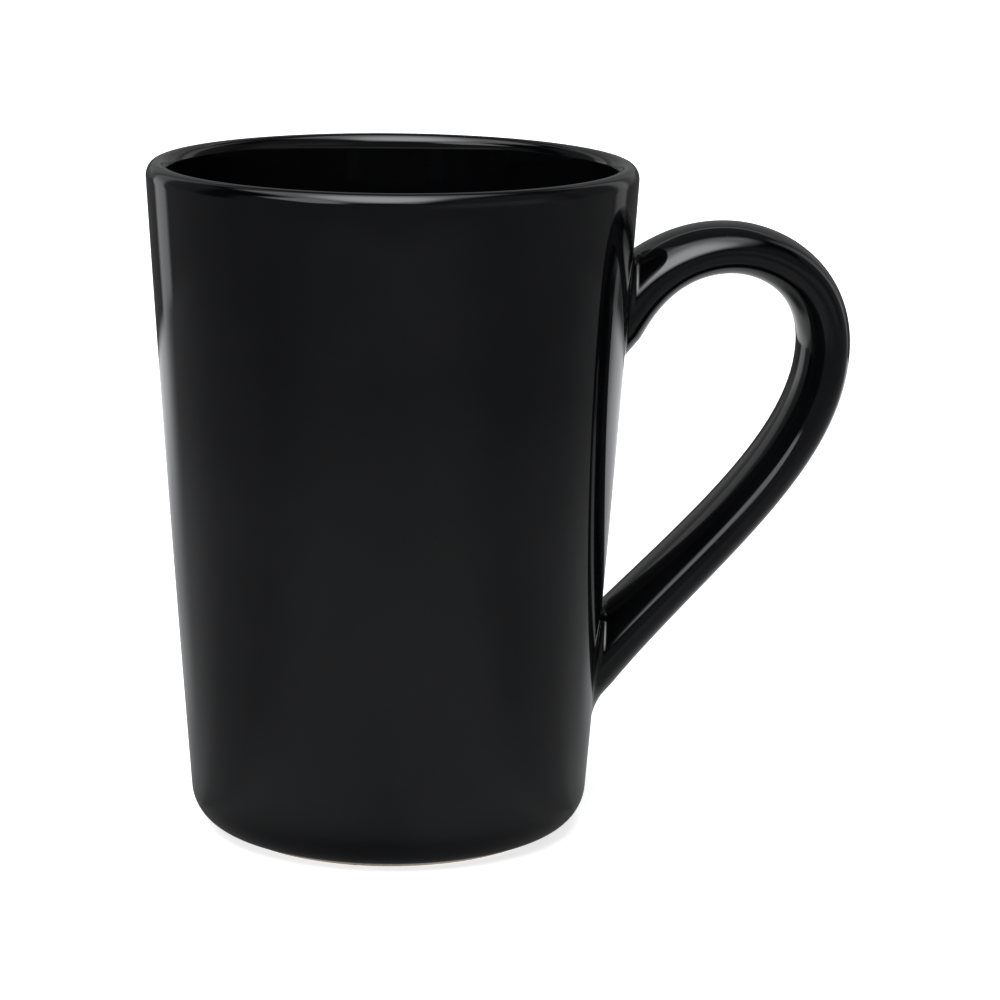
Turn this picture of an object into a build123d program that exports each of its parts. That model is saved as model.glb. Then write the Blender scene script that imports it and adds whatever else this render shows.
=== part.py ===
from build123d import *
import os
from math import cos, exp, radians, sin, sqrt

# A stoneware mug: a jiggered and turned cup that tapers from rim to foot, an ear handle luted on with
# slip, and a glaze coat over all but the foot ring. Millimetres, +Z up. The origin is where the cup's
# axis meets the surface that the foot ring stands on, and the handle points along +X.

# Cup, at its visible, glazed size
rim_radius = 41.25
cup_height = 114.5
wall_lean = 4.03            # degrees that the wall leans outwards
wall_arc = 6400.0           # radius of the wall's outline, a quarter of a millimetre proud of straight
lip_crest_round = 1.7       # over the lip, from its crest outwards
lip_crest_sweep = 55.0
lip_outer_round = 2.8       # from there to the wall
lip_inner_round = 1.9
heel_round = 6.7
heel_clearance = 0.8        # the glaze stops this far above the table
floor_height = 7.0          # inside bottom
well_round = 10.0           # corner between the inside wall and the bottom

# Glaze coat
glaze = 0.5

# Foot ring of bare clay, with a glazed recess inside it
foot_inner = 24.6
foot_round = 0.4
recess_depth = 2.4          # from the table to the glazed underside
recess_round = 1.2

# Handle: its centre line is three curves, from the upper root over the crown to the lower root
upper_root = (37.7, 88.2)
upper_root_angle = 48.7
crown = (57.4, 99.4)
outermost = (74.8, 82.6)
lower_root = (34.6, 27.7)
lower_root_angle = -132.7
reach = (4.0, 11.1, 8.0, 11.3, 18.9, 27.0)      # how far the curves hold their end directions
root_depth = 6.0            # run of each root inside the wall, which the wall trims off

# Handle section: an ellipse that swells towards both roots
half_thick = 4.25
half_wide = 8.8
upper_swell = 1.8
upper_swell_length = 9.5
lower_swell = 1.1
lower_swell_length = 22.0
section_count = 17

# Slip joints: the fillet round each handle end, and the depth of slip next to the wall
joint_fillet = 1.1
joint_depth = 2.5

# Centres of the lip's two outer arcs: they meet with one tangent, and the widest point is the rim radius
sweep = radians(lip_crest_sweep)
lip_x = rim_radius - lip_outer_round + (lip_outer_round - lip_crest_round) * sin(sweep)
crest_z = cup_height - lip_crest_round
shoulder_x = rim_radius - lip_outer_round
shoulder_z = crest_z - (lip_outer_round - lip_crest_round) * cos(sweep)

# Centre of the wall's flat arc, placed so that the wall runs on from the lip
lean = radians(wall_lean)
arc_z = cup_height / 2 + wall_arc * sin(lean)
arc_x = shoulder_x - sqrt((wall_arc - lip_outer_round) ** 2 - (arc_z - shoulder_z) ** 2)
inside_arc = sqrt((lip_x - arc_x) ** 2 + (arc_z - cup_height + lip_inner_round) ** 2) - lip_inner_round
arc_centre = Vector(arc_x, arc_z)


def wall_point(radius, height):
    """Point at this height on the circle of this radius about the wall's arc centre."""
    return Vector(arc_x + sqrt(radius**2 - (height - arc_z) ** 2), height)


def toward_wall(centre, radius):
    """Point on the circle of this radius about the wall's arc centre, in line with `centre`."""
    return arc_centre + (centre - arc_centre).normalized() * radius


def round_corner(centre, start, end):
    """Draw the short arc about `centre` from `start` to `end`."""
    bisector = ((start + end) * 0.5 - centre).normalized()
    ThreePointArc(start, centre + bisector * (start - centre).length, end)


def outside_line(skin):
    """Draw the cup's outside, `skin` under the glazed surface, from the crest to the end of the heel."""
    crest_centre = Vector(lip_x, crest_z)
    shoulder_centre = Vector(shoulder_x, shoulder_z)
    heel_centre = wall_point(wall_arc - heel_round, heel_clearance + heel_round)
    crest = Vector(lip_x, cup_height - skin)
    shoulder = crest_centre + Vector(sin(sweep), cos(sweep)) * (lip_crest_round - skin)
    lip_end = toward_wall(shoulder_centre, wall_arc - skin)
    heel_start = toward_wall(heel_centre, wall_arc - skin)
    heel_end = Vector(heel_centre.X, heel_clearance + skin)
    round_corner(crest_centre, crest, shoulder)
    round_corner(shoulder_centre, shoulder, lip_end)
    ThreePointArc(lip_end, wall_point(wall_arc - skin, cup_height / 2), heel_start)
    round_corner(heel_centre, heel_start, heel_end)
    return crest, heel_end


def inside_line(skin):
    """Draw the cup's inside, `skin` under the glazed surface, from the crest to the bottom's middle."""
    lip_centre = Vector(lip_x, cup_height - lip_inner_round)
    well_centre = wall_point(inside_arc - well_round, floor_height + well_round)
    crest = Vector(lip_x, cup_height - skin)
    lip_end = toward_wall(lip_centre, inside_arc + skin)
    well_start = toward_wall(well_centre, inside_arc + skin)
    well_end = Vector(well_centre.X, floor_height - skin)
    middle = Vector(0, floor_height - skin)
    round_corner(lip_centre, crest, lip_end)
    ThreePointArc(lip_end, wall_point(inside_arc + skin, cup_height / 2), well_start)
    round_corner(well_centre, well_start, well_end)
    Line(well_end, middle)
    return crest, middle


def recess_line(skin):
    """Draw the underside's recess, `skin` under the glazed surface, from its middle to the foot ring."""
    middle = Vector(0, recess_depth + skin)
    corner_centre = Vector(foot_inner - recess_round, recess_depth - recess_round)
    corner_start = corner_centre + Vector(0, recess_round + skin)
    corner_end = corner_centre + Vector(recess_round + skin, 0)
    Line(middle, corner_start)
    round_corner(corner_centre, corner_start, corner_end)
    return middle, corner_end


def ear_plane(along):
    """Plane across the handle at this fraction of its length."""
    return Plane(origin=handle_wire.position_at(along), x_dir=(0, 1, 0), z_dir=handle_wire.tangent_at(along))


def ear_radii(along, skin):
    """Half width and half thickness of the handle there, `skin` outside the clay."""
    from_upper = max(handle_length * along - root_depth, 0)
    from_lower = max(handle_length * (1 - along) - root_depth, 0)
    upper = upper_swell * exp(-from_upper / upper_swell_length)
    lower = lower_swell * exp(-from_lower / lower_swell_length)
    growth = upper + lower - glaze + skin
    return half_wide + growth, half_thick + growth


def root_seams(joined):
    """The two edges where the handle's ends enter the cup's outside."""
    return joined.edges().filter_by(GeomType.BSPLINE).sort_by(SortBy.LENGTH)[:2]


with BuildLine() as handle_path:
    first, top, side, last = [Vector(x, 0, z) for x, z in (upper_root, crown, outermost, lower_root)]
    leave_wall = Vector(1, 0, 0).rotate(Axis.Y, -upper_root_angle)
    meet_wall = Vector(1, 0, 0).rotate(Axis.Y, -lower_root_angle)
    out, down = Vector(1, 0, 0), Vector(0, 0, -1)
    Line(first - leave_wall * root_depth, first)
    Bezier(first, first + leave_wall * reach[0], top - out * reach[1], top)
    Bezier(top, top + out * reach[2], side - down * reach[3], side)
    Bezier(side, side + down * reach[4], last - meet_wall * reach[5], last)
    Line(last, last + meet_wall * root_depth)
handle_wire = handle_path.wire()
handle_length = handle_wire.length
stations = [index / (section_count - 1) for index in range(section_count)]

# The cup filled solid: in clay, glazed, and out to the depth of the slip joints
with BuildPart() as clay_outline:
    with BuildSketch(Plane.YZ):
        with BuildLine():
            crest, heel_end = outside_line(glaze)
            Polyline(heel_end, (0, heel_end.Y), (0, crest.Y), crest)
        make_face()
    revolve(axis=Axis.Z)

with BuildPart() as glazed_outline:
    with BuildSketch(Plane.YZ):
        with BuildLine():
            crest, heel_end = outside_line(0)
            Polyline(heel_end, (0, heel_end.Y), (0, crest.Y), crest)
        make_face()
    revolve(axis=Axis.Z)

with BuildPart() as joint_zone:
    with BuildSketch(Plane.YZ):
        with BuildLine():
            crest, heel_end = outside_line(glaze - joint_depth)
            Polyline(heel_end, (0, heel_end.Y), (0, crest.Y), crest)
        make_face()
    revolve(axis=Axis.Z)

# The handle from root to root: in clay and glazed
with BuildPart() as clay_ear:
    for along in stations:
        with BuildSketch(ear_plane(along)):
            Ellipse(*ear_radii(along, 0))
    loft()

with BuildPart() as glazed_ear:
    for along in stations:
        with BuildSketch(ear_plane(along)):
            Ellipse(*ear_radii(along, glaze))
    loft()

# Cup and handle in one, with the slip worked into a fillet round each root
with BuildPart() as clay_whole:
    add(clay_outline.part)
    add(clay_ear.part)
    fillet(root_seams(clay_whole), radius=joint_fillet)

with BuildPart() as glazed_whole:
    add(glazed_outline.part)
    add(glazed_ear.part)
    fillet(root_seams(glazed_whole), radius=joint_fillet)

# Clay cup: wall, lip, bottom and foot ring in one piece
with BuildPart() as clay_body:
    with BuildSketch(Plane.YZ):
        with BuildLine():
            crest, heel_end = outside_line(glaze)
            crest, well_middle = inside_line(glaze)
            under_middle, recess_side = recess_line(glaze)
            Line(well_middle, under_middle)
            ring_inside = Vector(recess_side.X, foot_round)
            ring_outside = Vector(heel_end.X, foot_round)
            foot_start = ring_inside + Vector(foot_round, -foot_round)
            foot_end = ring_outside - Vector(foot_round, foot_round)
            Line(recess_side, ring_inside)
            round_corner(ring_inside + Vector(foot_round, 0), ring_inside, foot_start)
            Line(foot_start, foot_end)
            round_corner(ring_outside - Vector(foot_round, 0), foot_end, ring_outside)
            Line(ring_outside, heel_end)
        make_face()
    revolve(axis=Axis.Z)
clay_body.part.label = "clay_body"

# Handle: the ear outside the slip joints
with BuildPart() as handle:
    add(clay_ear.part)
    add(joint_zone.part, mode=Mode.SUBTRACT)
handle.part.label = "handle"

# Slip joints: the two ends of the ear next to the wall, with their fillets
with BuildPart() as slip_joints:
    add(clay_whole.part)
    add(joint_zone.part, mode=Mode.INTERSECT)
    add(clay_outline.part, mode=Mode.SUBTRACT)
lower_joint, upper_joint = slip_joints.solids().sort_by(Axis.Z)

with BuildPart() as lower_slip_joint:
    add(lower_joint)
lower_slip_joint.part.label = "lower_slip_joint"

with BuildPart() as upper_slip_joint:
    add(upper_joint)
upper_slip_joint.part.label = "upper_slip_joint"

# Glaze inside the cup, from the lip's crest down and across the bottom
with BuildPart() as interior_glaze:
    with BuildSketch(Plane.YZ):
        with BuildLine():
            top_face, bottom_face = inside_line(0)
            clay_crest, clay_middle = inside_line(glaze)
            Line(top_face, clay_crest)
            Line(bottom_face, clay_middle)
        make_face()
    revolve(axis=Axis.Z)
interior_glaze.part.label = "interior_glaze"

# Glaze outside the cup, from the lip's crest to the heel, parted where the slip joints pass through
with BuildPart() as exterior_glaze:
    with BuildSketch(Plane.YZ):
        with BuildLine():
            top_face, heel_face = outside_line(0)
            clay_crest, clay_heel = outside_line(glaze)
            Line(top_face, clay_crest)
            Line(heel_face, clay_heel)
        make_face()
    revolve(axis=Axis.Z)
    add(slip_joints.part, mode=Mode.SUBTRACT)
exterior_glaze.part.label = "exterior_glaze"

# Glaze over the handle and its joints
with BuildPart() as handle_glaze:
    add(glazed_whole.part)
    add(glazed_outline.part, mode=Mode.SUBTRACT)
    add(clay_whole.part, mode=Mode.SUBTRACT)
handle_glaze.part.label = "handle_glaze"

# Glaze in the recess inside the foot ring
with BuildPart() as underside_glaze:
    with BuildSketch(Plane.YZ):
        with BuildLine():
            recess_middle, recess_edge = recess_line(0)
            clay_middle, clay_edge = recess_line(glaze)
            Line(recess_middle, clay_middle)
            Line(recess_edge, clay_edge)
        make_face()
    revolve(axis=Axis.Z)
underside_glaze.part.label = "underside_glaze"

pieces = (
    clay_body,
    handle,
    upper_slip_joint,
    lower_slip_joint,
    interior_glaze,
    exterior_glaze,
    handle_glaze,
    underside_glaze,
)
os.makedirs("parts", exist_ok=True)
for piece in pieces:
    export_step(piece.part, f"parts/{piece.part.label}.step")
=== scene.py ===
"""Stoneware mug: the glaze, the bare clay and the studio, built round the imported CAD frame.

Laid out as a Blender add-on and run as a script. Lengths are metres in the CAD frame: +Z up, the
origin where the cup's axis meets the table, the handle along +X.
"""

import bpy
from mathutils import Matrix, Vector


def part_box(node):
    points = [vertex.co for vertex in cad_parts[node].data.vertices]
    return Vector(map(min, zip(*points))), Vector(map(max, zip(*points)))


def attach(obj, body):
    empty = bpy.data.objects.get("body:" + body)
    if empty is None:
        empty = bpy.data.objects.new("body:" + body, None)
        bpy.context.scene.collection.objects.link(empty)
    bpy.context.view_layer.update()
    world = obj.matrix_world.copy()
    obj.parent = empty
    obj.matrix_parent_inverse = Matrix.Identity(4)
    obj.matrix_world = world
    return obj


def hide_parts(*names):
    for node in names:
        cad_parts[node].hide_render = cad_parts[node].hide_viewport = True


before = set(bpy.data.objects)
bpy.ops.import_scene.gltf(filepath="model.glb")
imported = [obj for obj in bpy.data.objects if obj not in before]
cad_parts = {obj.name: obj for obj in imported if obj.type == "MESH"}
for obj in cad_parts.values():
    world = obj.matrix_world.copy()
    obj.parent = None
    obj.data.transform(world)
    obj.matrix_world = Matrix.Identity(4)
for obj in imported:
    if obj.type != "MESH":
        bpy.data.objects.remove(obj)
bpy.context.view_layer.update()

from math import atan2, cos, pi, radians, sin, sqrt

import bpy
import numpy as np
from bpy.props import FloatProperty, FloatVectorProperty, PointerProperty
from mathutils import Matrix, Vector

bl_info = {
    "name": "Stoneware mug",
    "version": (1, 0, 0),
    "blender": (4, 5, 0),
    "location": "View3D > Sidebar > Mug",
    "description": "Glaze, bare clay and studio for a stoneware mug, built round its CAD frame",
    "category": "Add Mesh",
}

MM = 0.001
GLAZE = 0.5 * MM
RIM_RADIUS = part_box("exterior_glaze")[1].y
CUP_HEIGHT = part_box("exterior_glaze")[1].z
FLOOR_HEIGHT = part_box("interior_glaze")[0].z + GLAZE
HEEL_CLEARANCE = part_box("exterior_glaze")[0].z
RECESS_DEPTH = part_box("underside_glaze")[1].z - GLAZE
FOOT_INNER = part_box("underside_glaze")[1].y - GLAZE
ROOT_DEPTH = 14 * MM            # run of the handle's centre line inside the wall
SEAT = 0.004 * MM               # how far the edge of the handle's glaze stands off the wall's
TURNING_PITCH = 0.55 * MM       # lines left by the turning tool on the foot ring
TURNING_DEPTH = 0.05 * MM


# ---------------------------------------------------------------- settings that a user may change


def length(name, default, description):
    """A length in metres."""
    return FloatProperty(name=name, description=description, default=default, unit="LENGTH", precision=5)


def angle(name, default, description):
    """An angle, given here in degrees."""
    return FloatProperty(name=name, description=description, default=radians(default), unit="ROTATION")


def point(name, default, description):
    """A point of the handle's centre line, as x and z in metres."""
    return FloatVectorProperty(name=name, description=description, size=2, default=default, unit="LENGTH")


def number(name, default, description):
    """A plain number."""
    return FloatProperty(name=name, description=description, default=default)


def colour(name, default, description):
    """A colour in linear light."""
    return FloatVectorProperty(name=name, description=description, default=default, subtype="COLOR", size=3)


class MugCup(bpy.types.PropertyGroup):
    rim_radius: length("Rim radius", RIM_RADIUS, "Widest radius of the lip")
    height: length("Height", CUP_HEIGHT, "Table to the lip's crest")
    lean: angle("Wall lean", 4.03, "How far the wall leans out")
    wall_arc: length("Wall arc", 6.4, "Radius of the wall's outline, which is almost straight")
    lip_crest: length("Lip crest round", 1.7 * MM, "Round over the lip, from its crest outwards")
    lip_sweep: angle("Lip crest sweep", 55, "Angle that the crest round turns through")
    lip_outer: length("Outer lip round", 2.8 * MM, "Round from there to the wall")
    lip_inner: length("Inner lip round", 1.9 * MM, "Round on the lip's inside")
    heel: length("Heel round", 6.7 * MM, "Round between wall and foot")
    heel_clearance: length("Heel clearance", HEEL_CLEARANCE, "Gap between the glaze's end and the table")
    floor: length("Floor height", FLOOR_HEIGHT, "Table to the inside bottom")
    well: length("Well round", 10.0 * MM, "Round between the inside wall and bottom")
    glaze: length("Glaze", GLAZE, "Thickness of the glaze coat")


class MugFoot(bpy.types.PropertyGroup):
    inner: length("Foot inner radius", FOOT_INNER, "Inner radius of the glazed recess")
    recess: length("Recess depth", RECESS_DEPTH, "Table to the glazed underside")
    recess_round: length("Recess round", 1.2 * MM, "Round between the recess's side and ceiling")
    edge: length("Foot edge round", 0.4 * MM, "Round on the foot ring's edges")


class MugHandle(bpy.types.PropertyGroup):
    upper_root: point("Upper root", (0.0377, 0.0882), "Start of the centre line")
    upper_angle: angle("Upper angle", 48.7, "Direction in which it leaves the wall")
    crown: point("Crown", (0.0574, 0.0994), "Highest point of the centre line")
    outermost: point("Outermost", (0.0748, 0.0826), "Point furthest from the cup")
    lower_root: point("Lower root", (0.0346, 0.0277), "End of the centre line")
    lower_angle: angle("Lower angle", -132.7, "Direction in which it meets the wall")
    reach: FloatVectorProperty(
        name="Reach",
        description="How far the three curves hold their end directions",
        size=6,
        default=(0.0040, 0.0111, 0.0080, 0.0113, 0.0189, 0.0270),
    )
    half_thick: length("Half thickness", 4.25 * MM, "Half the handle's thickness in its own plane")
    half_wide: length("Half width", 8.8 * MM, "Half the handle's width across its plane")
    upper_swell: length("Upper swell", 1.8 * MM, "Growth at the upper root")
    upper_swell_length: length("Upper swell length", 9.5 * MM, "How fast it dies away")
    lower_swell: length("Lower swell", 1.1 * MM, "Growth at the lower root")
    lower_swell_length: length("Lower swell length", 22 * MM, "How fast it dies away")
    fillet: length("Joint fillet", 1.1 * MM, "Glaze fillet round the roots")
    smear: length("Lower smear", 10.0 * MM, "Larger fillet under the lower root, where slip is smoothed")


class MugLook(bpy.types.PropertyGroup):
    glaze_dark: colour("Glaze, dark", (0.0010, 0.0011, 0.0014), "Glaze where it lies thick")
    glaze_light: colour("Glaze, light", (0.0020, 0.0021, 0.0025), "Glaze where it lies thin")
    glaze_speck: colour("Glaze speck", (0.0060, 0.0054, 0.0050), "Iron specks in the glaze")
    glaze_roughness: number("Glaze roughness", 0.025, "Micro roughness of the gloss")
    glaze_swell: length("Glaze swell", 0.004 * MM, "Height of the slow swell in the surface")
    glaze_peel: length("Glaze peel", 0.0006 * MM, "Height of the fine orange peel")
    glaze_pinhole: length("Glaze pinhole", 0.02 * MM, "Depth of the scattered pinholes")
    clay_dark: colour("Clay, dark", (0.36, 0.31, 0.255), "Bare clay, darker patches")
    clay_light: colour("Clay, light", (0.50, 0.445, 0.375), "Bare clay, lighter patches")
    clay_grog: colour("Grog", (0.60, 0.55, 0.48), "Pale grog in the clay")
    clay_iron: colour("Iron", (0.09, 0.055, 0.035), "Dark iron spots in the clay")
    clay_lines: length("Turning lines", 0.02 * MM, "Height of the fine lines left by the turning tool")
    clay_grain: length("Clay grain", 0.02 * MM, "Height of the clay's grain")


class MugStudio(bpy.types.PropertyGroup):
    table: number("Table", 0.28, "Brightness of the table in the glaze")
    table_gap: length("Table gap", 38 * MM, "Half width of the strip behind the mug that it hides")
    backdrop: number("Backdrop", 0.8, "Extra brightness of the table behind the mug")
    walls: number("Walls", 0.14, "Brightness of the studio's walls")
    main_box: number("Main light box", 6.5, "Brightness of the box overhead and in front")
    side_box: number("Side light boxes", 0.7, "Brightness of the boxes behind")
    tint: colour("Tint", (0.97, 0.98, 1.0), "Colour of the studio's light")
    floor_size: length("Floor size", 8.0, "Side of the floor")
    turn: angle("Turn", -9.8, "Azimuth of the camera and the lights, from the mug's front")
    aim_right: length("Aim, right", 18.6 * MM, "Point looked at, to the right of the cup's axis")
    aim_up: length("Aim, up", 56.88 * MM, "Point looked at, above the table")
    distance: length("Distance", 0.6726, "Camera to the point looked at")
    elevation: angle("Elevation", 12.2, "Height of the camera over the horizon")
    roll: angle("Roll", 0.751, "Turn about the line of sight")
    lens: number("Lens", 142.29, "Focal length in millimetres")


# ---------------------------------------------------------------- surfaces


def arc(centre, radius, start, end, count):
    """Points at equal angles from start to end, in radians, on the circle about centre."""
    angle = np.linspace(start, end, count)
    return np.stack([centre[0] + radius * np.cos(angle), centre[1] + radius * np.sin(angle)], axis=1)


class CupLines:
    """The cup's outline in its own half plane, as radius and height.

    The wall is a flat arc about a far centre. Lip, heel and well are arcs that touch it, so the line
    at any depth under the glazed surface has the same centres and other radii.
    """

    def __init__(self, cup):
        self.cup = cup
        self.far = np.zeros(2)
        self.far[1] = cup.height / 2 + cup.wall_arc * sin(cup.lean)
        step = (cup.lip_outer - cup.lip_crest) * np.array([sin(cup.lip_sweep), cos(cup.lip_sweep)])
        self.lip_crest = np.array([cup.rim_radius - cup.lip_outer + step[0], cup.height - cup.lip_crest])
        self.lip_outer = self.lip_crest - step
        self.lip_inner = np.array([self.lip_crest[0], cup.height - cup.lip_inner])
        rise = self.far[1] - self.lip_outer[1]
        self.far[0] = self.lip_outer[0] - sqrt((cup.wall_arc - cup.lip_outer) ** 2 - rise**2)
        self.inside_arc = np.linalg.norm(self.lip_inner - self.far) - cup.lip_inner
        self.heel = self.at_height(cup.wall_arc - cup.heel, cup.heel_clearance + cup.heel)
        self.well = self.at_height(self.inside_arc - cup.well, cup.floor + cup.well)

    def at_height(self, radius, height):
        """Point at this height on the circle of this radius about the far centre."""
        return np.array([self.far[0] + sqrt(radius**2 - (height - self.far[1]) ** 2), height])

    def bearing(self, point):
        """Direction of a point from the far centre, in radians."""
        return atan2(point[1] - self.far[1], point[0] - self.far[0])

    def outside(self, skin, fine=1.0, start=0.0):
        """From `start` past the heel's end up to the lip's crest, `skin` under the glazed surface."""
        heel, lip = self.bearing(self.heel), self.bearing(self.lip_outer)
        rows = [int(n * fine) for n in (24, 60, 16, 14)]
        sweep = pi / 2 - self.cup.lip_sweep
        return np.concatenate([
            arc(self.heel, self.cup.heel - skin, start / self.cup.heel - pi / 2, heel, rows[0])[:-1],
            arc(self.far, self.cup.wall_arc - skin, heel, lip, rows[1])[:-1],
            arc(self.lip_outer, self.cup.lip_outer - skin, lip, sweep, rows[2])[:-1],
            arc(self.lip_crest, self.cup.lip_crest - skin, sweep, pi / 2, rows[3]),
        ])

    def inside(self, skin, fine=1.0):
        """From the lip's crest down to the middle of the bottom, `skin` under the glazed surface."""
        lip, well = self.bearing(self.lip_inner), self.bearing(self.well)
        rows = [int(n * fine) for n in (20, 50, 20, 12)]
        bottom = self.cup.floor - skin
        across = np.stack([np.linspace(self.well[0], 0, rows[3]), np.full(rows[3], bottom)], axis=1)
        return np.concatenate([
            arc(self.lip_inner, self.cup.lip_inner - skin, pi / 2, pi + lip, rows[0])[:-1],
            arc(self.far, self.inside_arc + skin, lip, well, rows[1])[:-1],
            arc(self.well, self.cup.well + skin, well, -pi / 2, rows[2])[:-1],
            across,
        ])


def mesh_piece(name, points, faces, material, sharp_angle=40):
    """A mesh object at the origin, smooth but for its real corners, riding on the mug."""
    mesh = bpy.data.meshes.new(name)
    mesh.from_pydata(points.tolist(), [], [face for block in faces for face in block.tolist()])
    mesh.materials.append(material)
    mesh.update()
    mesh.shade_smooth()
    mesh.set_sharp_from_angle(angle=radians(sharp_angle))
    piece = bpy.data.objects.new(name, mesh)
    bpy.context.scene.collection.objects.link(piece)
    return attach(piece, "root")


def revolve(name, outline, material, segments=288):
    """Turn an outline that starts and ends on the axis about Z: x = r cos a, y = r sin a, z = h.

    The outline runs anticlockwise in the (radius, height) plane, so the faces point outwards.
    """
    rings = outline[1:-1]
    angle = np.linspace(0, 2 * pi, segments, endpoint=False)
    turned = np.stack([
        rings[:, :1] * np.cos(angle),
        rings[:, :1] * np.sin(angle),
        np.repeat(rings[:, 1:], segments, axis=1),
    ], axis=2).reshape(-1, 3)
    poles = np.array([[0, 0, outline[0, 1]], [0, 0, outline[-1, 1]]])
    index = np.arange(len(turned)).reshape(len(rings), segments)
    beside = np.roll(index, -1, axis=1)
    quads = np.stack([index[:-1], beside[:-1], beside[1:], index[1:]], axis=2).reshape(-1, 4)
    first, last = np.full(segments, len(turned)), np.full(segments, len(turned) + 1)
    start_fan = np.stack([first, beside[0], index[0]], axis=1)
    end_fan = np.stack([last, index[-1], beside[-1]], axis=1)
    return mesh_piece(name, np.concatenate([turned, poles]), [quads, start_fan, end_fan], material)


def bezier(points, t):
    """Cubic curve on four control points, by the Bernstein formula."""
    s = 1 - t
    return s**3 * points[0] + 3 * s**2 * t * points[1] + 3 * s * t**2 * points[2] + t**3 * points[3]


class HandleLine:
    """The handle's centre line in the XZ plane, read by its arc length from the upper root."""

    def __init__(self, handle):
        posts = handle.upper_root, handle.crown, handle.outermost, handle.lower_root
        first, top, side, last = [np.array(post) for post in posts]
        leave = np.array([cos(handle.upper_angle), sin(handle.upper_angle)])
        meet = np.array([cos(handle.lower_angle), sin(handle.lower_angle)])
        out, down, reach = np.array([1, 0]), np.array([0, -1]), handle.reach
        t = np.linspace(0, 1, 400)[:, None]
        self.run = np.concatenate([
            first - leave * ROOT_DEPTH * (1 - t[:-1]),
            bezier([first, first + leave * reach[0], top - out * reach[1], top], t[:-1]),
            bezier([top, top + out * reach[2], side - down * reach[3], side], t[:-1]),
            bezier([side, side + down * reach[4], last - meet * reach[5], last], t[:-1]),
            last + meet * ROOT_DEPTH * t,
        ])
        step = np.linalg.norm(np.diff(self.run, axis=0), axis=1)
        self.length = np.concatenate([[0], np.cumsum(step)])
        self.slope = np.gradient(self.run, self.length, axis=0)

    def at(self, s):
        """Point and unit direction, both as x and z, at arc lengths s."""
        point = np.stack([np.interp(s, self.length, self.run[:, k]) for k in (0, 1)], axis=-1)
        slope = np.stack([np.interp(s, self.length, self.slope[:, k]) for k in (0, 1)], axis=-1)
        return point, slope / np.linalg.norm(slope, axis=-1, keepdims=True)


def handle_skin(handle, line, s, turn):
    """Point and outward normal of the plain handle at arc length s and angle `turn` round its section.

    The section is an ellipse across the centre line: centre + a cos(turn) out + b sin(turn) across,
    where `out` is square to the line in the handle's plane, away from the finger gap. Both half axes
    swell towards each root as an exponential of the distance to it.
    """
    point, slope = line.at(s)
    from_upper = np.maximum(s - ROOT_DEPTH, 0)
    from_lower = np.maximum(line.length[-1] - s - ROOT_DEPTH, 0)
    swell = handle.upper_swell * np.exp(-from_upper / handle.upper_swell_length)
    swell = swell + handle.lower_swell * np.exp(-from_lower / handle.lower_swell_length)
    thick, wide = (handle.half_thick + swell)[..., None], (handle.half_wide + swell)[..., None]
    centre = np.stack([point[..., 0], np.zeros_like(s), point[..., 1]], axis=-1)
    out = np.stack([-slope[..., 1], np.zeros_like(s), slope[..., 0]], axis=-1)
    across = np.array([0.0, 1.0, 0.0])
    c, d = np.cos(turn)[..., None], np.sin(turn)[..., None]
    skin = centre + thick * c * out + wide * d * across
    normal = wide * c * out + thick * d * across
    return skin, normal / np.linalg.norm(normal, axis=-1, keepdims=True)


def wall_gap(lines, point):
    """Distance of points from the cup's glazed wall, and the wall's normal under them."""
    radial = np.hypot(point[..., 0], point[..., 1])
    away = np.stack([radial - lines.far[0], point[..., 2] - lines.far[1]], axis=-1)
    reach = np.linalg.norm(away, axis=-1)
    lean = away / reach[..., None]
    normal = np.stack([
        lean[..., 0] * point[..., 0] / radial,
        lean[..., 0] * point[..., 1] / radial,
        lean[..., 1],
    ], axis=-1)
    return reach - lines.cup.wall_arc, normal


def find_gap(handle, line, lines, turn, lift, gap, inside, outside):
    """Arc lengths at which the skin, lifted along its normal, stands `gap` off the wall: by bisection."""
    low, high = np.full_like(turn, inside), np.full_like(turn, outside)
    for _ in range(40):
        middle = (low + high) / 2
        skin, normal = handle_skin(handle, line, middle, turn)
        clear = wall_gap(lines, skin + np.multiply(lift, normal.T).T)[0] > gap
        high, low = np.where(clear, middle, high), np.where(clear, low, middle)
    return (low + high) / 2


def root_rows(handle, line, lines, turn, inside, outside, fillet, count=14):
    """Rows of the fillet round one root, from inside the wall out to the plain handle.

    At fillet angle f the skin is lifted by R (1 - cos f) along its normal, and read where it stands
    R (1 - sin f) off the wall, so it leaves the handle and meets the wall without a crease. R is the
    fillet times one minus the cosine between the two normals, which gives the legs of a rolled ball.
    """
    seam = find_gap(handle, line, lines, turn, 0.0, 0.0, inside, outside)
    skin, normal = handle_skin(handle, line, seam, turn)
    radius = fillet * (1 - (normal * wall_gap(lines, skin)[1]).sum(axis=-1))
    rows = []
    for f in np.linspace(pi / 2, 0, count):
        lift = radius * (1 - cos(f))
        s = find_gap(handle, line, lines, turn, lift, radius * (1 - sin(f)) + SEAT, inside, outside)
        skin, normal = handle_skin(handle, line, s, turn)
        rows.append(skin + lift[:, None] * normal)
    buried = rows[0] - 0.8 * lines.cup.glaze * wall_gap(lines, rows[0])[1]
    return seam, s, np.array([buried, *rows])


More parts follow.
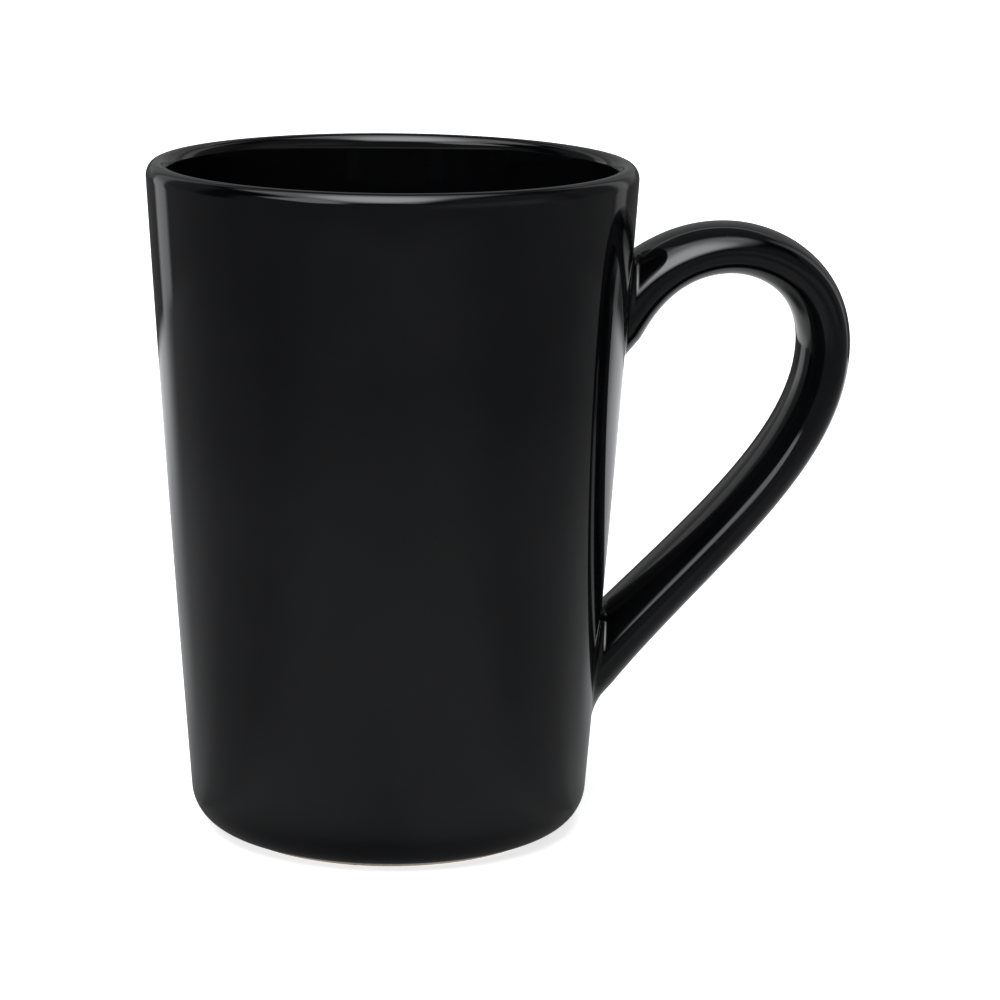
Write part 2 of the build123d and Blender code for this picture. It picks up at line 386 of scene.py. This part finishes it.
def handle_rows(handle, lines, around=128, along=220):
    """The handle's glaze as a grid that closes both ways: out over the skin, back along the clay."""
    line = HandleLine(handle)
    turn = np.linspace(0, 2 * pi, around, endpoint=False)
    total = line.length[-1]
    smeared = handle.fillet + (handle.smear - handle.fillet) * np.clip(np.cos(turn), 0, 1) ** 2
    plain = np.full(around, handle.fillet)
    upper_seam, upper_end, upper = root_rows(handle, line, lines, turn, 0, total / 2, plain)
    lower_seam, lower_end, lower = root_rows(handle, line, lines, turn, total, total / 2, smeared)
    fraction = np.linspace(0, 1, along)[1:-1, None]
    s = upper_end * (1 - fraction) + lower_end * fraction
    skin, _ = handle_skin(handle, line, s, np.broadcast_to(turn, s.shape))
    s = lower_seam * (1 - fraction[::3]) + upper_seam * fraction[::3]
    clay, normal = handle_skin(handle, line, s, np.broadcast_to(turn, s.shape))
    return np.concatenate([upper, skin, lower[::-1], clay - lines.cup.glaze * normal])


def turned_grid(name, rows, material):
    """A mesh on a grid of points (rows, columns) that closes in both directions."""
    index = np.arange(rows.shape[0] * rows.shape[1]).reshape(rows.shape[:2])
    below, beside = np.roll(index, -1, axis=0), np.roll(index, -1, axis=1)
    quads = np.stack([index, below, np.roll(below, -1, axis=1), beside], axis=2).reshape(-1, 4)
    return mesh_piece(name, rows.reshape(-1, 3), [quads], material)


# ---------------------------------------------------------------- materials


class Value:
    """A value in a node tree. Python arithmetic on it adds the tree's Math nodes."""

    def __init__(self, tree, socket):
        self.tree, self.socket = tree, socket

    def maths(self, operation, *values):
        return self.tree.add("ShaderNodeMath", {"operation": operation}, dict(enumerate(values)))

    def __add__(self, other):
        return self.maths("ADD", self, other)

    def __sub__(self, other):
        return self.maths("SUBTRACT", self, other)

    def __rsub__(self, other):
        return self.maths("SUBTRACT", other, self)

    def __mul__(self, other):
        return self.maths("MULTIPLY", self, other)

    def __truediv__(self, other):
        return self.maths("DIVIDE", self, other)

    def __pow__(self, other):
        return self.maths("POWER", self, other)

    def __gt__(self, other):
        return self.maths("GREATER_THAN", self, other)

    def __abs__(self):
        return self.maths("ABSOLUTE", self)

    __radd__ = __add__
    __rmul__ = __mul__

    def rise(self, low, high):
        """0 below low, 1 above high, and a smooth step between them; falls where low is the larger."""
        smooth = {"interpolation_type": "SMOOTHSTEP"}
        return self.tree.add("ShaderNodeMapRange", smooth, {0: self, 1: low, 2: high})

    def between(self, low, high, soft):
        """1 from low to high, with smooth edges that are `soft` wide and centred on them."""
        return self.rise(low - soft / 2, low + soft / 2) * self.rise(high + soft / 2, high - soft / 2)


class Tree:
    """The node tree of a material or a world, built from nothing."""

    def __init__(self, owner):
        owner.use_nodes = True
        self.nodes, self.links = owner.node_tree.nodes, owner.node_tree.links
        self.nodes.clear()

    def add(self, kind, settings=(), sockets=(), out=0):
        """A node of this type: its settings, then values or links for its sockets. Gives one output."""
        node = self.nodes.new(kind)
        for name, value in dict(settings).items():
            setattr(node, name, value)
        for name, value in dict(sockets).items():
            if isinstance(value, Value):
                self.links.new(value.socket, node.inputs[name])
            else:
                node.inputs[name].default_value = value
        return Value(self, node.outputs[out])

    def place(self):
        """Object coordinates, in metres."""
        return self.add("ShaderNodeTexCoord", out="Object")

    def along(self, place, axis):
        """How far a place or a direction reaches along an axis."""
        return self.add("ShaderNodeVectorMath", {"operation": "DOT_PRODUCT"}, {0: place, 1: axis}, "Value")

    def noise(self, place, size, detail=2.0, stretch=(1, 1, 1)):
        """Noise from 0 to 1 whose features are about `size` metres across."""
        scaled = self.add("ShaderNodeVectorMath", {"operation": "MULTIPLY"}, {0: place, 1: stretch})
        return self.add("ShaderNodeTexNoise", (), {"Vector": scaled, "Scale": 1 / size, "Detail": detail})

    def cells(self, place, size):
        """Distance from the nearest of many scattered points, in cells of `size` metres."""
        return self.add("ShaderNodeTexVoronoi", (), {"Vector": place, "Scale": 1 / size})

    def mix(self, factor, first, second):
        """Colour between first and second."""
        node = self.nodes.new("ShaderNodeMix")
        node.data_type = "RGBA"
        for socket, value in zip((node.inputs[0], node.inputs[6], node.inputs[7]), (factor, first, second)):
            if isinstance(value, Value):
                self.links.new(value.socket, socket)
            else:
                socket.default_value = value if socket.type == "VALUE" else (*value, 1)
        return Value(self, node.outputs[2])

    def end(self, kind, shader):
        """Join a shader to the tree's output."""
        self.links.new(shader.socket, self.nodes.new(kind).inputs["Surface"])


def gloss_glaze(look):
    """Black gloss glaze: almost all of it is reflection, over faint iron specks and a slow swell."""
    material = bpy.data.materials.new("gloss_glaze")
    tree = Tree(material)
    place = tree.place()
    cloud = tree.noise(place, 22 * MM, detail=3).rise(0.35, 0.65)
    specks = tree.cells(place, 2.6 * MM).rise(0.11, 0.06)
    melt = tree.mix(cloud, look.glaze_dark, look.glaze_light)
    colour = tree.mix(specks * 0.5, melt, look.glaze_speck)
    roughness = look.glaze_roughness * (0.75 + 0.5 * tree.noise(place, 9 * MM, detail=4))
    swell = tree.noise(place, 14 * MM, detail=1) * look.glaze_swell
    peel = tree.noise(place, 2.2 * MM) * look.glaze_peel
    pinholes = tree.cells(place, 5.5 * MM).rise(0.022, 0.0) * look.glaze_pinhole
    shader = tree.add("ShaderNodeBsdfPrincipled", (), {
        "Base Color": colour,
        "Roughness": roughness,
        "IOR": 1.5,
        "Normal": tree.add("ShaderNodeBump", (), {"Height": swell + peel - pinholes, "Distance": 1.0}),
    })
    tree.end("ShaderNodeOutputMaterial", shader)
    return material


def dry_clay(look):
    """Unglazed stoneware: a dry sandy body with grog, iron spots and fine turning lines."""
    material = bpy.data.materials.new("dry_clay")
    tree = Tree(material)
    place = tree.place()
    cloud = tree.noise(place, 12 * MM, detail=4)
    grog = tree.cells(place, 0.9 * MM).rise(0.42, 0.12)
    iron = tree.cells(place, 2.3 * MM).rise(0.16, 0.05)
    body = tree.mix(cloud.rise(0.3, 0.7), look.clay_dark, look.clay_light)
    body = tree.mix(grog * 0.35, body, look.clay_grog)
    colour = tree.mix(iron * 0.8, body, look.clay_iron)
    lines = tree.noise(place, 0.45 * MM, stretch=(0.02, 0.02, 1)) * look.clay_lines
    grain = tree.noise(place, 0.35 * MM, detail=4) * look.clay_grain
    shader = tree.add("ShaderNodeBsdfPrincipled", (), {
        "Base Color": colour,
        "Roughness": 0.72 + 0.2 * cloud,
        "IOR": 1.45,
        "Normal": tree.add("ShaderNodeBump", (), {"Height": lines + grain, "Distance": 1.0}),
    })
    tree.end("ShaderNodeOutputMaterial", shader)
    return material


def finish(name):
    """The mug's material of this name, made the first time that a piece asks for it."""
    makers = {"gloss_glaze": gloss_glaze, "dry_clay": dry_clay}
    return bpy.data.materials.get(name) or makers[name](bpy.context.scene.mug_look)


# ---------------------------------------------------------------- pieces


class MUG_OT_thrown_cup(bpy.types.Operator):
    """The clay cup under the glaze, down to its bare foot ring with its turning lines"""

    bl_idname = "mug.thrown_cup"
    bl_label = "Clay cup"

    def execute(self, context):
        cup, foot = context.scene.mug_cup, context.scene.mug_foot
        lines = CupLines(cup)
        inner, outer = foot.inner + cup.glaze, lines.heel[0]
        round_centre = np.array([foot.inner - foot.recess_round, foot.recess - foot.recess_round])
        face = np.linspace(inner + foot.edge, outer - foot.edge, 60)[1:-1]
        groove = TURNING_DEPTH * (1 - np.cos(2 * pi * (face - face[0]) / TURNING_PITCH)) / 2
        outline = np.concatenate([
            [[0, foot.recess + cup.glaze]],
            arc(round_centre, foot.recess_round + cup.glaze, pi / 2, 0, 10),
            arc((inner + foot.edge, foot.edge), foot.edge, pi, 1.5 * pi, 8),
            np.stack([face, groove], axis=1),
            arc((outer - foot.edge, foot.edge), foot.edge, -pi / 2, 0, 8),
            lines.outside(cup.glaze, fine=0.6),
            lines.inside(cup.glaze, fine=0.6)[1:],
        ])
        piece = revolve("thrown_cup", outline, finish("dry_clay"))
        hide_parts("clay_body")
        return {"FINISHED"}


class MUG_OT_cup_glaze(bpy.types.Operator):
    """The glaze coat over the cup, inside and out, from a rolled edge at the heel"""

    bl_idname = "mug.cup_glaze"
    bl_label = "Cup glaze"

    def execute(self, context):
        cup = context.scene.mug_cup
        lines = CupLines(cup)
        bead = cup.glaze / 2
        outline = np.concatenate([
            lines.inside(cup.glaze, fine=0.4)[::-1],
            lines.outside(cup.glaze, fine=0.4)[::-1][1:],
            arc((lines.heel[0] + bead, cup.heel_clearance + bead), bead, pi, 1.5 * pi, 8),
            lines.outside(0, start=bead),
            lines.inside(0)[1:],
        ])
        piece = revolve("cup_glaze", outline, finish("gloss_glaze"))
        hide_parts("exterior_glaze", "interior_glaze")
        return {"FINISHED"}


class MUG_OT_ear_glaze(bpy.types.Operator):
    """The glaze coat over the handle, run into the wall at both roots"""

    bl_idname = "mug.ear_glaze"
    bl_label = "Handle glaze"

    def execute(self, context):
        rows = handle_rows(context.scene.mug_handle, CupLines(context.scene.mug_cup))
        piece = turned_grid("ear_glaze", rows, finish("gloss_glaze"))
        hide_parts("handle_glaze")
        return {"FINISHED"}


class MUG_OT_recess_glaze(bpy.types.Operator):
    """The glaze in the recess inside the foot ring"""

    bl_idname = "mug.recess_glaze"
    bl_label = "Underside glaze"

    def execute(self, context):
        cup, foot = context.scene.mug_cup, context.scene.mug_foot
        corner = np.array([foot.inner - foot.recess_round, foot.recess - foot.recess_round])
        bead = cup.glaze / 2
        outline = np.concatenate([
            [[0, foot.recess]],
            arc(corner, foot.recess_round, pi / 2, 0, 16),
            arc((foot.inner + bead, corner[1]), bead, pi, 2 * pi, 10)[1:-1],
            arc(corner, foot.recess_round + cup.glaze, 0, pi / 2, 16),
            [[0, foot.recess + cup.glaze]],
        ])
        piece = revolve("recess_glaze", outline, finish("gloss_glaze"), segments=192)
        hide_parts("underside_glaze")
        return {"FINISHED"}


class MUG_OT_ear_clay(bpy.types.Operator):
    """The clay of the handle and the slip that joins it, which stay as the frame has them"""

    bl_idname = "mug.ear_clay"
    bl_label = "Handle clay"

    def execute(self, context):
        for node in ("handle", "upper_slip_joint", "lower_slip_joint"):
            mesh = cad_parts[node].data
            mesh.materials.clear()
            mesh.materials.append(finish("dry_clay"))
        return {"FINISHED"}


# ---------------------------------------------------------------- studio


def studio_axes(studio):
    """The studio's right and front, seen from the camera, as unit vectors."""
    turn = studio.turn
    return Vector((cos(turn), sin(turn), 0)), Vector((sin(turn), -cos(turn), 0))


def studio_world(studio):
    """Studio that the glaze mirrors above the table: dim walls and soft light boxes, dark elsewhere.

    Light depends only on direction. Azimuth is 0 to the front and grows to the right, elevation is 0
    at the horizon, both in degrees. Each patch is a product of smooth steps in the two, but the box
    overhead is a rectangle on a level plane: across and ahead are right / up and front / up.
    """
    world = bpy.data.worlds.new("studio")
    tree = Tree(world)
    direction = tree.add("ShaderNodeTexCoord", out="Generated")
    right, front = studio_axes(studio)
    up = tree.along(direction, (0, 0, 1))
    side = tree.along(direction, right)
    ahead = tree.along(direction, front)
    azimuth = up.maths("ARCTAN2", side, ahead) * (180 / pi)
    elevation = up.maths("ARCSINE", up) * (180 / pi)
    aside = abs(azimuth)

    # Walls: before the mug, beside it, to its right, and behind it with a pale edge along the top
    front_wall = aside.rise(85, 70) * elevation.rise(30, 18)
    low_wall = aside.between(78, 128, 14) * elevation.rise(6, -6)
    right_wall = azimuth.between(25, 95, 30) * elevation.between(0, 55, 20)
    far_wall = aside.between(100, 160, 12) * elevation.between(-1, 40, 10) * 0.8
    end_wall = aside.rise(122, 134) * 0.6
    back_wall = aside.rise(146, 162) * (elevation.between(4, 36, 4) + elevation.between(35, 38, 1) * 3)
    walls = (front_wall + low_wall + right_wall + far_wall + end_wall + back_wall) * studio.walls

    # Light boxes: one overhead, brightest towards its middle, with a dimmer wing on its left, and one
    # upright on each side behind
    across = side / up
    ahead = ahead / up
    above = up > 0
    middle = ((across + 0.1) * 1.6) ** 2 + ((ahead - 0.65) * 1.1) ** 2
    overhead = across.between(-0.85, 0.42, 0.3) * ahead.between(-0.3, 1.65, 0.3) * above
    overhead = overhead * (0.3 + 0.7 * middle.rise(0.9, 0.0))
    wing = across.between(-1.7, -0.8, 0.4) * ahead.between(0.7, 2.3, 0.4) * above * 0.4
    left_box = azimuth.between(-144, -130, 5) * elevation.between(-14, 74, 6)
    left_box = left_box * (0.4 + 0.6 * elevation.rise(12, -2))
    right_box = azimuth.between(130, 142, 5) * elevation.between(-12, 50, 6) * 0.5
    boxes = (overhead + wing) * studio.main_box + (left_box + right_box) * studio.side_box

    light = {"Color": (*studio.tint, 1), "Strength": walls + boxes}
    tree.end("ShaderNodeOutputWorld", tree.add("ShaderNodeBackground", (), light))
    return world


class MUG_OT_studio(bpy.types.Operator):
    """White floor, studio light and camera"""

    bl_idname = "mug.studio"
    bl_label = "Studio"

    def execute(self, context):
        scene, studio = context.scene, context.scene.mug_studio
        corners = np.array([(-1, -1, 0), (1, -1, 0), (1, 1, 0), (-1, 1, 0)]) * studio.floor_size / 2
        mesh = bpy.data.meshes.new("floor")
        mesh.from_pydata(corners.tolist(), [], [(0, 1, 2, 3)])
        floor = bpy.data.objects.new("floor", mesh)
        scene.collection.objects.link(floor)
        mesh.materials.append(floor_paint(studio))
        scene.world = studio_world(studio)
        scene.view_settings.view_transform = "Standard"
        self.aim(scene, studio)
        return {"FINISHED"}

    def aim(self, scene, studio):
        """Camera on a sphere round the point looked at, turned about its own line by the roll."""
        rise, roll = studio.elevation, studio.roll
        right, front = studio_axes(studio)
        forward = Vector((0, 0, -sin(rise))) - front * cos(rise)
        up = Vector((0, 0, cos(rise))) - front * sin(rise)
        turned_right = right * cos(roll) + up * sin(roll)
        turned_up = up * cos(roll) - right * sin(roll)
        target = right * studio.aim_right + Vector((0, 0, studio.aim_up))
        data = bpy.data.cameras.new("camera")
        data.lens = studio.lens
        data.clip_end = 100
        camera = bpy.data.objects.new("camera", data)
        camera.matrix_world = Matrix.LocRotScale(
            target - forward * studio.distance,
            Matrix((turned_right, turned_up, -forward)).transposed(),
            None,
        )
        scene.collection.objects.link(camera)
        scene.camera = camera


def floor_paint(studio):
    """White paper that shines a little itself, so that it stays white and takes only a faint shadow.

    The glaze sees a painted table instead, an emission with painted light and shade round a black mug:
    grey to the front and sides, painted shade against the foot, a painted shadow of the mug behind
    it, white further back, and gone past the table's edge. The bearing of a place is 0 to the front
    and 180 behind, and is taken from the nearest side of the mug.
    """
    material = bpy.data.materials.new("white_paper")
    tree = Tree(material)
    place = tree.place()
    right, front = studio_axes(studio)
    behind = tree.along(place, -front)
    aside = abs(tree.along(place, right))
    past_wall = aside - studio.table_gap
    from_foot = (behind**2 + aside**2) ** 0.5
    away = (behind**2 + past_wall**2) ** 0.5
    bearing = abs(past_wall.maths("ARCTAN2", past_wall, behind * -1)) * (180 / pi)

    # Painted light on the mirrored table: grey that dims far off and to the sides, with painted shade
    # against the foot
    grey = (1 - 0.35 * away.rise(140 * MM, 300 * MM)) * (1.08 - 0.3 * bearing.between(35, 105, 40))
    grey = grey * (0.35 + 0.65 * from_foot.rise(25 * MM, 60 * MM))
    # Painted white backdrop behind the mug, with painted shade close to it
    white = bearing.rise(128, 148) * (0.22 + 0.78 * away.rise(140 * MM, 360 * MM))
    white = white * away.rise(30 * MM, 90 * MM)
    # Painted shadow: the mirrored table is dimmed behind the mug where its shadow would fall
    shadow = behind.between(60 * MM, 140 * MM, 60 * MM) * aside.rise(70 * MM, 5 * MM) * 0.85
    glow = (grey * studio.table + white * studio.backdrop) * (1 - shadow)
    # The painted table: an emission with the painted light, shade and shadow above, which only glossy rays
    # meet
    painted_table = tree.add("ShaderNodeEmission", (), {"Color": (*studio.tint, 1), "Strength": glow})
    gone = tree.add("ShaderNodeBsdfTransparent")
    past_edge = away.rise(400 * MM, 450 * MM)
    mirrored = tree.add("ShaderNodeMixShader", (), {0: past_edge, 1: painted_table, 2: gone})

    paper = tree.add("ShaderNodeBsdfPrincipled", (), {
        "Base Color": tree.mix(tree.noise(place, 40 * MM), (0.80, 0.80, 0.80), (0.82, 0.82, 0.82)),
        "Roughness": 1.0,
        "Specular IOR Level": 0.0,
        "Emission Color": (1, 1, 1, 1),
        "Emission Strength": 0.75,
    })
    in_glaze = tree.add("ShaderNodeLightPath", out="Is Glossy Ray")
    shader = tree.add("ShaderNodeMixShader", (), {0: in_glaze, 1: paper, 2: mirrored})
    tree.end("ShaderNodeOutputMaterial", shader)
    return material


class MUG_PT_panel(bpy.types.Panel):
    """The mug's pieces and their settings"""

    bl_idname = "MUG_PT_panel"
    bl_label = "Stoneware mug"
    bl_space_type = "VIEW_3D"
    bl_region_type = "UI"
    bl_category = "Mug"

    def draw(self, context):
        for name in GROUPS:
            settings = getattr(context.scene, name)
            box = self.layout.box()
            for setting in settings.bl_rna.properties.keys():
                if setting not in ("rna_type", "name"):
                    box.prop(settings, setting)
        for operator in OPERATORS:
            self.layout.operator(operator.bl_idname)


GROUPS = {
    "mug_cup": MugCup,
    "mug_foot": MugFoot,
    "mug_handle": MugHandle,
    "mug_look": MugLook,
    "mug_studio": MugStudio,
}
OPERATORS = (
    MUG_OT_thrown_cup,
    MUG_OT_cup_glaze,
    MUG_OT_ear_clay,
    MUG_OT_ear_glaze,
    MUG_OT_recess_glaze,
    MUG_OT_studio,
)
CLASSES = (*GROUPS.values(), *OPERATORS, MUG_PT_panel)


def register():
    for cls in CLASSES:
        bpy.utils.register_class(cls)
    for name, cls in GROUPS.items():
        setattr(bpy.types.Scene, name, PointerProperty(type=cls))


def unregister():
    for name in GROUPS:
        delattr(bpy.types.Scene, name)
    for cls in reversed(CLASSES):
        bpy.utils.unregister_class(cls)


def main():
    register()
    bpy.ops.mug.thrown_cup()
    bpy.ops.mug.cup_glaze()
    bpy.ops.mug.ear_clay()
    bpy.ops.mug.ear_glaze()
    bpy.ops.mug.recess_glaze()
    bpy.ops.mug.studio()


if __name__ == "__main__":
    main()
